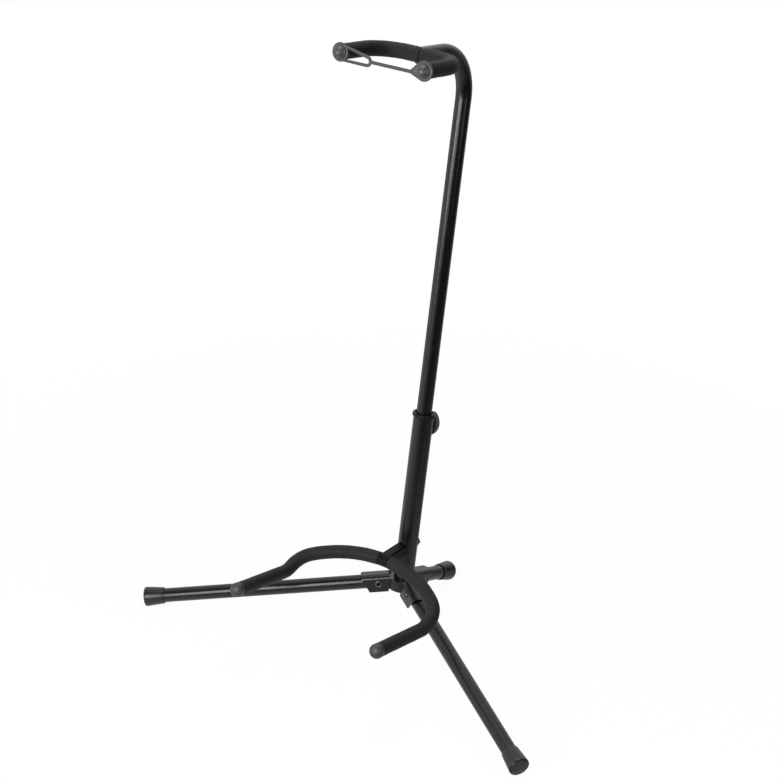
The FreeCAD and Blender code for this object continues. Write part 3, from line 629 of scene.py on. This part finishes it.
def new_finish(name, base, roughness, grain, bump, specular, marks, metallic=0.0, coarse=GRAIN_COARSE,
               cells=0.0):
    """Principled finish whose colour, roughness and bump come from grain, cells and handling marks.
    marks is the change of roughness and of colour where the surface is handled."""
    finish = bpy.data.materials.new(name)
    finish.use_nodes = True
    finish.diffuse_color = (*base, 1.0)
    kit = Nodes(finish.node_tree)
    kit.tree.nodes.clear()
    shader = kit.add("ShaderNodeBsdfPrincipled")
    output = kit.add("ShaderNodeOutputMaterial")
    kit.link(shader.outputs["BSDF"], output.inputs["Surface"])
    shader.inputs["Specular IOR Level"].default_value = specular
    shader.inputs["Metallic"].default_value = metallic
    place = kit.add("ShaderNodeTexCoord").outputs["Object"]

    rough_grain = kit.add("ShaderNodeGroup", node_tree=shared_group("Surface Grain"))
    rough_grain.inputs["Size"].default_value = grain
    rough_grain.inputs["Coarse Share"].default_value = coarse
    kit.link(place, rough_grain.inputs["Vector"])
    handled = kit.add("ShaderNodeGroup", node_tree=shared_group("Handling Marks"))
    kit.link(place, handled.inputs["Vector"])

    patchy = kit.noise(place, PATCH_SCALE, 2.0)
    shade = kit.ramp(patchy, *PATCH_RAMP)
    lifted = kit.math("ADD", shade, kit.math("MULTIPLY", handled.outputs["Mask"], marks[1]))
    tint = kit.add("ShaderNodeMix", data_type="RGBA", blend_type="MULTIPLY")
    tint.inputs["Factor"].default_value = 1.0
    tint.inputs["A"].default_value = (*base, 1.0)
    grey = kit.add("ShaderNodeCombineColor")
    for channel in ("Red", "Green", "Blue"):
        kit.link(lifted, grey.inputs[channel])
    kit.link(grey.outputs["Color"], tint.inputs["B"])
    kit.link(tint.outputs["Result"], shader.inputs["Base Color"])

    worn = kit.math("MULTIPLY", handled.outputs["Mask"], marks[0])
    kit.link(kit.math("ADD", roughness, worn), shader.inputs["Roughness"])

    height = rough_grain.outputs["Height"]
    if cells:
        pores = kit.add("ShaderNodeTexVoronoi", feature="F1")
        pores.inputs["Scale"].default_value = 1.0 / cells
        kit.link(place, pores.inputs["Vector"])
        height = kit.math("ADD", height, kit.math("MULTIPLY", pores.outputs["Distance"], PORE_SHARE))
    relief = kit.add("ShaderNodeBump")
    relief.inputs["Strength"].default_value = bump
    relief.inputs["Distance"].default_value = grain * RELIEF_SHARE
    kit.link(height, relief.inputs["Height"])
    kit.link(relief.outputs["Normal"], shader.inputs["Normal"])
    return finish


def finish_of(name):
    """A finish by its name, made when it is first asked for."""
    made = bpy.data.materials.get(name)
    if made:
        return made
    tint, *values, extras = FINISHES[name]
    return new_finish(name, getattr(finishes(), tint), *values, **extras)


# Pieces

def cradle_route(side):
    """Half of the cradle's rod: wide back, corner, bend up and straight arm."""
    size = cradle()
    normal = np.array((0.0, -math.sin(size.tilt), math.cos(size.tilt)))
    middle = np.array((0.0, -size.forward, size.rise))
    route = Route(middle, RIGHT * side, normal)
    route.bend(size.back_radius, size.back_angle, normal * -side)
    route.bend(size.corner_radius, math.radians(90.0) - size.back_angle, normal * -side)
    route.bend(size.lift_radius, size.lift, -RIGHT)
    return route.run(size.arm)


def yoke_middle():
    """Middle of the yoke's rod and the way the arms point, at the end of the bent upper tube."""
    size = yoke()
    route = Route(UP * size.bend_start, UP, RIGHT).bend(size.bend_radius, size.bend_angle, RIGHT)
    route.run(size.neck)
    return route.point, route.along


def yoke_route(side):
    """Half of the yoke's rod: straight back, corner and forward arm."""
    size = yoke()
    middle, way = yoke_middle()
    normal = np.cross(RIGHT, way)
    route = Route(middle, RIGHT * side, normal)
    route.run(size.half_width - size.corner_radius)
    route.bend(size.corner_radius, math.radians(90.0), normal * side)
    return route.run(size.arm - size.corner_radius)


def sleeve_profile(start, end, outer, edge):
    """Closed (distance, radius) loop of a sleeve: outside, soft end, bore, soft end."""
    outside = np.linspace(start + edge, end - edge, int((end - start) / FOAM_STEP))
    turn = np.linspace(0.0, np.pi / 2, EDGE_STEPS)
    far = np.column_stack([end - edge + edge * np.sin(turn), outer - edge + edge * np.cos(turn)])
    near = np.column_stack([start + edge - edge * np.cos(turn), outer - edge + edge * np.sin(turn)])
    return np.concatenate([
        np.column_stack([outside, np.full(len(outside), outer)]),
        far[1:],
        np.column_stack([np.linspace(end, start, len(outside)), np.full(len(outside), ROD_BORE)]),
        near[:-1],
    ])


def soft_swell(size, seed):
    """Uneven foam: the sum of w sin(k s + n v + p seed) over the waves, and none on the bore."""
    most = sum(wave[0] for wave in FOAM_WAVES)

    def swell(distance, turn, radius):
        waves = sum(weight * np.sin(distance * rate + lobes * turn + phase * seed)
                    for weight, rate, lobes, phase in FOAM_WAVES)
        return np.where(radius > ROD_BORE + SAME_POINT, waves * size / most - size, 0.0)
    return swell


class STAND_OT_cradle_foam(bpy.types.Operator):
    """Foam sleeves on both halves of the cradle"""
    bl_idname = "stand.cradle_foam"
    bl_label = "Cradle Foam"

    def execute(self, context):
        size = cradle()
        for number, (side, way) in enumerate(SIDES.items()):
            route = cradle_route(way)
            end = route.total - size.cap_length - CAP_GAP
            profile = sleeve_profile(size.half_strut + STRUT_GAP, end, size.foam_radius, CRADLE_EDGE)
            grid = swept(route, profile, soft_swell(CRADLE_SWELL, number))
            piece = Shell().add(stood(grid), True).built(
                "cradle_foam_sleeve_" + side, "foam_finish", "base", "black_foam", "cradle_foam_" + side)
        return {"FINISHED"}


def neck_room(size):
    """Closed round bar a little larger than the neck, from behind the yoke to the neck's end."""
    middle, way = yoke_middle()
    radius = size.neck_radius + NECK_GAP
    past = size.neck_past + NECK_GAP
    profile = np.array([(-NECK_BEHIND, radius), (past, radius)])
    shell = Shell().add(stood(aimed(lathed(profile, AROUND_NECK), middle, way)), False)
    mesh = bpy.data.meshes.new("neck_room")
    mesh.from_pydata(np.concatenate(shell.points), [], shell.faces)
    return bpy.data.objects.new("neck_room", mesh)


def cut_out(piece, tool):
    """Take the tool's volume out of a piece's mesh for good."""
    scene = bpy.context.scene
    scene.collection.objects.link(tool)
    cut = piece.modifiers.new("cut_out", "BOOLEAN")
    cut.operation = "DIFFERENCE"
    cut.solver = "EXACT"
    cut.object = tool
    whole = piece.data
    seen = piece.evaluated_get(bpy.context.evaluated_depsgraph_get())
    mesh = bpy.data.meshes.new_from_object(seen)
    piece.modifiers.clear()
    piece.data = mesh
    smooth(mesh)
    bpy.data.meshes.remove(whole)
    shape = tool.data
    bpy.data.objects.remove(tool)
    bpy.data.meshes.remove(shape)


class STAND_OT_yoke_sleeves(bpy.types.Operator):
    """Foam sleeves on both halves of the yoke"""
    bl_idname = "stand.yoke_sleeves"
    bl_label = "Yoke Sleeves"

    def execute(self, context):
        size = yoke()
        for number, (side, way) in enumerate(SIDES.items()):
            route = yoke_route(way)
            profile = sleeve_profile(size.sleeve_start, route.total, size.sleeve_radius, YOKE_EDGE)
            grid = swept(route, profile, soft_swell(YOKE_SWELL, YOKE_SEED + number))
            piece = Shell().add(stood(grid), True).built(
                "yoke_foam_sleeve_" + side, "foam_finish", "upper", "black_foam", "yoke_sleeve_" + side)
            cut_out(piece, neck_room(size))
        return {"FINISHED"}


def dome(radius, rise, start, steps):
    """Spherical cap from its edge to its top as (z, r) points: (top - b + b cos t, b sin t)."""
    ball = (radius ** 2 + rise ** 2) / (2 * rise)
    edge = math.asin(min(1.0, radius / ball))
    turn = np.linspace(edge, 0.0, steps)
    return np.column_stack([start + rise - ball + ball * np.cos(turn), ball * np.sin(turn)])


def nose(start, reach, radius):
    """Quarter of an ellipse from its edge to its tip as (z, r) points: (s + l sin t, r cos t)."""
    turn = np.linspace(0.0, np.pi / 2, NOSE_STEPS)
    points = np.column_stack([start + reach * np.sin(turn), radius * np.cos(turn)])
    points[-1, 1] = 0.0
    return points


class STAND_OT_cradle_caps(bpy.types.Operator):
    """Rubber caps on the tips of the cradle: straight wall and rounded nose"""
    bl_idname = "stand.cradle_caps"
    bl_label = "Cradle Caps"

    def execute(self, context):
        size = cradle()
        radius, long = size.cap_radius, size.cap_length
        rim = rounded([(0.0, 0.0, 0.0), (0.0, radius, CAP_RIM), (long, radius, 0.0)])
        floor = long - CAP_SOLID
        profile = np.concatenate([
            np.array([(floor, 0.0), (floor, ROD_BORE), (0.0, ROD_BORE)]),
            rim[CORNER_STEPS:2 * CORNER_STEPS],
            nose(floor, CAP_NOSE, radius),
        ])
        for side, way in SIDES.items():
            route = cradle_route(way)
            start = route.point - route.along * long
            grid = aimed(lathed(profile), start, route.along)
            Shell().add(stood(grid), False).built(
                "cradle_end_cap_" + side, "cap_rubber_finish", "base", "black_rubber", "cradle_cap_" + side)
        return {"FINISHED"}


class STAND_OT_yoke_caps(bpy.types.Operator):
    """Rubber caps on the yoke's arms: flange, waist for the strap and domed button"""
    bl_idname = "stand.yoke_caps"
    bl_label = "Yoke Caps"

    def execute(self, context):
        size = yoke()
        flange, waist = size.flange, size.flange + size.waist
        button = waist + BUTTON_WALL
        outline = open_outline([
            (CAP_SOCKET, 0.0, 0.0),
            (CAP_SOCKET, ROD_BORE, 0.0),
            (CAP_SEAT, ROD_BORE, 0.0),
            (CAP_SEAT, FLANGE_RADIUS, 0.0008),
            (flange, FLANGE_RADIUS, 0.0008),
            (flange, WAIST_RADIUS, 0.0004),
            (waist, WAIST_RADIUS, 0.0004),
            (waist, BUTTON_RADIUS, 0.0005),
            (button, BUTTON_RADIUS, 0.0006),
            (button, 0.0, 0.0),
        ])
        top = dome(BUTTON_DOME_RADIUS, BUTTON_DOME_RISE, button, BUTTON_DOME_STEPS)
        profile = np.concatenate([outline, top[1:]])
        for side, way in SIDES.items():
            route = yoke_route(way)
            grid = aimed(lathed(profile), route.point, route.along)
            Shell().add(stood(grid), False).built(
                "yoke_end_cap_" + side, "button_rubber_finish", "upper", "black_rubber", "yoke_cap_" + side)
        return {"FINISHED"}


def two_disc_outline(first, first_radius, second, second_radius, normals):
    """Hull of two discs: the point of the disc that reaches further along each normal direction."""
    ways = np.column_stack([np.cos(normals), np.sin(normals)])
    nearer = ways @ np.array(first) + first_radius
    further = ways @ np.array(second) + second_radius
    use = (further > nearer)[:, None]
    return np.where(use, np.array(second) + ways * second_radius, np.array(first) + ways * first_radius)


def disc_outline(centre, radius, turns):
    """Circle c + r (cos t, sin t)."""
    return np.array(centre) + radius * np.column_stack([np.cos(turns), np.sin(turns)])


def flat_section():
    """Rounded flat section as (across, thickness), each from -1 to 1: a superellipse."""
    turn = np.linspace(0.0, 2.0 * np.pi, SECTION_STEPS, endpoint=False)
    shaped = np.column_stack([np.cos(turn), np.sin(turn)])
    return np.sign(shaped) * np.abs(shaped) ** SECTION_POWER


def flat_ring(inner, outer, half_thickness):
    """Flat ring P(u, v) between two outlines, with rounded edges: (i + o)/2 + (o - i)/2 a(v)
    across, and h b(v) through the thickness."""
    section = flat_section()
    across = section[None, :, 0:1]
    plane = (inner + outer)[:, None] / 2 + (outer - inner)[:, None] / 2 * across
    depth = np.broadcast_to(section[None, :, 1:2] * half_thickness, plane.shape[:2] + (1,))
    return np.concatenate([plane, depth], axis=2)


def flat_band(start, end, half_width, half_thickness):
    """Straight band P(u, v) = a + (b - a) u + w s(v) across, h t(v) through the thickness."""
    share = np.linspace(0.0, 1.0, BAND_STEPS)[:, None, None]
    section = flat_section()
    line = np.array(end) - np.array(start)
    side = np.array((-line[1], line[0])) / np.linalg.norm(line)
    centre = np.array(start) + line * share
    plane = centre + side * (section[None, :, 0:1] * half_width)
    depth = np.broadcast_to(section[None, :, 1:2] * half_thickness, plane.shape[:2] + (1,))
    return np.concatenate([plane, depth], axis=2)


class STAND_OT_safety_strap(bpy.types.Operator):
    """Rubber strap: ring on the right cap, band, and a long loop over the left cap"""
    bl_idname = "stand.safety_strap"
    bl_label = "Safety Strap"

    def execute(self, context):
        size = yoke()
        middle, way = yoke_middle()
        rise = -np.cross(RIGHT, way)
        centre = middle + way * (size.arm + size.flange + size.waist / 2)
        half = size.strap_thickness / 2
        band = size.strap_width / 2
        low = -size.strap_sag
        right, left = size.half_width, -size.half_width
        turns = np.linspace(0.0, 2.0 * np.pi, AROUND_LOOP, endpoint=False)
        shell = Shell()

        def add(flat, loop):
            grid = (centre + flat[..., 0:1] * RIGHT + flat[..., 1:2] * rise + flat[..., 2:3] * way)
            shell.add(stood(grid), loop)

        right_cap, left_cap = (right, 0.0), (left, 0.0)
        drop = (right - STRAP_TAPER, low)
        ring_out = two_disc_outline(right_cap, STRAP_RING, drop, band, turns)
        add(flat_ring(disc_outline(right_cap, STRAP_HOLE, turns), ring_out, half), True)

        loop_end = (left + size.loop_length - LOOP_END, low)
        loop_out = two_disc_outline(left_cap, LOOP_RADIUS, loop_end, LOOP_END, turns)
        loop_in = two_disc_outline(left_cap, STRAP_HOLE, loop_end, LOOP_END_HOLE, turns)
        add(flat_ring(loop_in, loop_out, half), True)
        rim_out = disc_outline(left_cap, LOOP_RIM, turns)
        add(flat_ring(disc_outline(left_cap, LOOP_RIM_HOLE, turns), rim_out, half * LOOP_RIM_SHARE), True)

        band_start = (left + size.loop_length - BAND_OVERLAP, low)
        add(flat_band(band_start, drop, band, half * BAND_SHARE), False)
        shell.built("safety_strap_rubber", "strap_rubber_finish", "strap", "black_rubber", "safety_strap")
        return {"FINISHED"}


class STAND_OT_rubber_feet(bpy.types.Operator):
    """Flared rubber feet, flattened where they stand on the floor"""
    bl_idname = "stand.rubber_feet"
    bl_label = "Rubber Feet"

    def execute(self, context):
        side_wall = open_outline(FOOT_OUTLINE)
        end = dome(FOOT_DOME_RADIUS, FOOT_DOME_RISE, FOOT_OUTLINE[-1][0], FOOT_DOME_STEPS)
        profile = np.concatenate([side_wall, end[1:]])
        for name, turn in LEG_TURNS.items():
            reach = stance().rear_reach if name == "rear" else stance().front_reach
            grid = aimed(lathed(profile, AROUND_FOOT), -BACK * reach, -BACK)
            grid = on_leg(grid, turn)
            grid[..., 2] = np.maximum(grid[..., 2], 0.0)
            Shell().add(grid, False).built(
                name + "_rubber_foot", "foot_rubber_finish", name + "_leg", "black_rubber", name + "_foot")
        return {"FINISHED"}


class STAND_OT_mast_collar(bpy.types.Operator):
    """Collar on the lower tube's end: tapered skirt, round lip and open throat"""
    bl_idname = "stand.mast_collar"
    bl_label = "Mast Collar"

    def execute(self, context):
        profile = rounded(COLLAR_OUTLINE) + np.array((TUBE_END, 0.0))
        Shell().add(stood(lathed(profile, AROUND_COLLAR)), True).built(
            "mast_collar", "plastic_finish", "base", "black_plastic", "tube_collar")
        return {"FINISHED"}


class STAND_OT_leg_rivets(bpy.types.Operator):
    """Hollow rivets with rolled heads at the legs' pivots"""
    bl_idname = "stand.leg_rivets"
    bl_label = "Leg Rivets"

    def execute(self, context):
        turn = np.linspace(np.pi, 0.0, CURL_STEPS)
        curl = np.column_stack([RIVET_HALF + RIVET_CURL * np.sin(turn),
                                RIVET_CURL_MIDDLE + RIVET_CURL * np.cos(turn)])
        profile = np.concatenate([
            curl, np.array([(RIVET_HALF, RIVET_BORE), (-RIVET_HALF, RIVET_BORE)]),
            curl[::-1] * np.array((-1.0, 1.0)),
        ])
        shell = Shell()
        grid = aimed(lathed(profile, AROUND_RIVET), -BACK * stance().pivot_reach, RIGHT)
        for turn in LEG_TURNS.values():
            shell.add(on_leg(grid, turn), True)
        shell.built("leg_hollow_rivets", "plating_finish", "base", "plated_steel", "leg_rivets")
        return {"FINISHED"}


class STAND_OT_cad_finishes(bpy.types.Operator):
    """Finishes of the pieces that keep their built shape"""
    bl_idname = "stand.cad_finishes"
    bl_label = "Metal and Plastic Finishes"

    def execute(self, context):
        for finish, names in CAD_FINISHES.items():
            for name in names:
                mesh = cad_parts[name].data
                mesh.materials.clear()
                mesh.materials.append(finish_of(finish))
        return {"FINISHED"}


def area_light(name, place, target, size, power):
    """Rectangular soft light that faces a point."""
    data = bpy.data.lights.new(name, "AREA")
    data.shape = "RECTANGLE"
    data.size, data.size_y = size
    data.energy = power
    light = bpy.data.objects.new(name, data)
    bpy.context.scene.collection.objects.link(light)
    way = Vector(target) - Vector(place)
    light.visible_camera = False
    light.matrix_world = Matrix.Translation(place) @ way.to_track_quat("-Z", "Y").to_matrix().to_4x4()


def ray_kinds(kit):
    """1 for camera rays, and 1 for glossy and transmission rays, each 0 for the rest."""
    path = kit.add("ShaderNodeLightPath")
    mirrored = kit.math("MAXIMUM", path.outputs["Is Glossy Ray"], path.outputs["Is Transmission Ray"])
    return path.outputs["Is Camera Ray"], mirrored


def along(kit, vector, direction):
    """Length of a vector along a direction."""
    node = kit.add("ShaderNodeVectorMath", operation="DOT_PRODUCT")
    kit.link(vector, node.inputs[0])
    node.inputs[1].default_value = direction
    return node.outputs["Value"]


def either(kit, first, second, share):
    """first where the share is 0, second where it is 1."""
    node = kit.add("ShaderNodeMix", data_type="FLOAT")
    kit.link(share, node.inputs["Factor"])
    kit.feed(node.inputs["A"], first)
    kit.feed(node.inputs["B"], second)
    return node.outputs["Result"]


class STAND_OT_stage(bpy.types.Operator):
    """Pale floor, white surroundings, soft lights and the camera"""
    bl_idname = "stand.stage"
    bl_label = "Studio"

    def execute(self, context):
        scene = context.scene
        scene.view_settings.view_transform = "Standard"
        self.lay_floor(scene)
        self.set_world(scene)
        for name, (place, target, size, power) in LAMPS.items():
            area_light(name, place, target, size, power)
        self.set_camera(scene)
        return {"FINISHED"}

    def lay_floor(self, scene):
        mesh = bpy.data.meshes.new("studio_floor")
        corners = [(-1, -1), (1, -1), (1, 1), (-1, 1)]
        points = [(x * FLOOR_REACH, y * FLOOR_REACH, FLOOR_LEVEL) for x, y in corners]
        mesh.from_pydata(points, [], [(0, 1, 2, 3)])
        floor = bpy.data.objects.new("studio_floor", mesh)
        scene.collection.objects.link(floor)
        finish = bpy.data.materials.new("studio_white")
        finish.use_nodes = True
        kit = Nodes(finish.node_tree)
        kit.tree.nodes.clear()
        seen, mirrored = ray_kinds(kit)
        place = kit.add("ShaderNodeTexCoord").outputs["Object"]
        tone = kit.add("ShaderNodeMix", data_type="RGBA")
        kit.link(seen, tone.inputs["Factor"])
        tone.inputs["A"].default_value = (*finishes().floor, 1.0)
        tone.inputs["B"].default_value = (*finishes().backdrop, 1.0)
        diffuse = kit.add("ShaderNodeBsdfDiffuse")
        kit.link(tone.outputs["Result"], diffuse.inputs["Color"])
        # reflections of the floor dim towards the studio's dim side, and behind the stand as painted shadow
        # of the stand
        dim_side_and_painted_shadow = kit.math("MULTIPLY", kit.ramp(along(kit, place, DIM_SIDE), *FLOOR_TO_DIM_SIDE),
                          kit.ramp(along(kit, place, tuple(BACK)), *FLOOR_SHADOW_TO_BACK))
        white = kit.add("ShaderNodeEmission")
        kit.link(either(kit, 1.0, dim_side_and_painted_shadow, mirrored), white.inputs["Strength"])
        size = kit.add("ShaderNodeVectorMath", operation="LENGTH")
        kit.link(place, size.inputs[0])
        shadowed = kit.ramp(size.outputs["Value"], *FLOOR_FROM_MIDDLE)
        share = kit.math("MAXIMUM", kit.math("MULTIPLY", seen, shadowed), mirrored)
        mixed = kit.add("ShaderNodeMixShader")
        kit.link(share, mixed.inputs["Fac"])
        kit.link(diffuse.outputs["BSDF"], mixed.inputs[1])
        kit.link(white.outputs["Emission"], mixed.inputs[2])
        output = kit.add("ShaderNodeOutputMaterial")
        kit.link(mixed.outputs["Shader"], output.inputs["Surface"])
        mesh.materials.append(finish)

    def set_world(self, scene):
        world = bpy.data.worlds.new("studio_surroundings")
        scene.world = world
        world.use_nodes = True
        kit = Nodes(world.node_tree)
        kit.tree.nodes.clear()
        seen, mirrored = ray_kinds(kit)
        way = kit.add("ShaderNodeTexCoord").outputs["Generated"]
        backdrop = kit.ramp(along(kit, way, DIM_SIDE), *WALL_TO_DIM_SIDE)
        glow = kit.add("ShaderNodeBackground")
        glow.inputs["Color"].default_value = (1.0, 1.0, 1.0, 1.0)
        unseen = either(kit, FILL_LEVEL, backdrop, mirrored)
        kit.link(either(kit, unseen, 1.0, seen), glow.inputs["Strength"])
        output = kit.add("ShaderNodeOutputWorld")
        kit.link(glow.outputs["Background"], output.inputs["Surface"])

    def set_camera(self, scene):
        """Camera turned from the front, raised and rolled, that looks at its aim from a distance."""
        turn, rise, roll = (math.radians(size) for size in (CAMERA_TURN, CAMERA_RISE, CAMERA_ROLL))
        away = Vector((math.sin(turn) * math.cos(rise), -math.cos(turn) * math.cos(rise), math.sin(rise)))
        level = Vector((math.cos(turn), math.sin(turn), 0.0))
        steep = away.cross(level)
        side = level * math.cos(roll) + steep * math.sin(roll)
        top = steep * math.cos(roll) - level * math.sin(roll)
        data = bpy.data.cameras.new("photo_camera")
        data.sensor_width = CAMERA_SENSOR
        data.lens = CAMERA_LENS
        data.clip_start, data.clip_end = CAMERA_NEAR, CAMERA_FAR
        camera = bpy.data.objects.new("photo_camera", data)
        scene.collection.objects.link(camera)
        aim = Vector(CAMERA_AIM) + side * CAMERA_SHIFT
        turned = Matrix((side, top, away)).transposed().to_4x4()
        camera.matrix_world = Matrix.Translation(aim + away * CAMERA_AWAY) @ turned
        scene.camera = camera


PIECE_OPERATORS = (
    STAND_OT_cad_finishes,
    STAND_OT_cradle_foam,
    STAND_OT_cradle_caps,
    STAND_OT_yoke_sleeves,
    STAND_OT_yoke_caps,
    STAND_OT_safety_strap,
    STAND_OT_rubber_feet,
    STAND_OT_mast_collar,
    STAND_OT_leg_rivets,
    STAND_OT_stage,
)


class STAND_PT_sidebar(bpy.types.Panel):
    """Buttons for the stand's pieces and their sizes"""
    bl_idname = "STAND_PT_sidebar"
    bl_label = "Guitar Stand"
    bl_space_type = "VIEW_3D"
    bl_region_type = "UI"
    bl_category = "Guitar Stand"

    def draw(self, context):
        for operator in PIECE_OPERATORS:
            self.layout.operator(operator.bl_idname)
        for group in (stance(), cradle(), yoke(), finishes()):
            box = self.layout.box()
            for name in group.__annotations__:
                box.prop(group, name)


GROUPS = {
    "stand_stance": StandStance,
    "stand_cradle": CradleSizes,
    "stand_yoke": YokeSizes,
    "stand_colours": FinishColours,
}
CLASSES = tuple(GROUPS.values()) + PIECE_OPERATORS + (STAND_PT_sidebar,)


def register():
    for item in CLASSES:
        bpy.utils.register_class(item)
    for name, group in GROUPS.items():
        setattr(bpy.types.Scene, name, PointerProperty(type=group))


def unregister():
    for name in GROUPS:
        delattr(bpy.types.Scene, name)
    for item in reversed(CLASSES):
        bpy.utils.unregister_class(item)


def main():
    register()
    bpy.ops.stand.cad_finishes()
    bpy.ops.stand.cradle_foam()
    bpy.ops.stand.cradle_caps()
    bpy.ops.stand.yoke_sleeves()
    bpy.ops.stand.yoke_caps()
    bpy.ops.stand.safety_strap()
    bpy.ops.stand.rubber_feet()
    bpy.ops.stand.mast_collar()
    bpy.ops.stand.leg_rivets()
    bpy.ops.stand.stage()


if __name__ == "__main__":
    main()
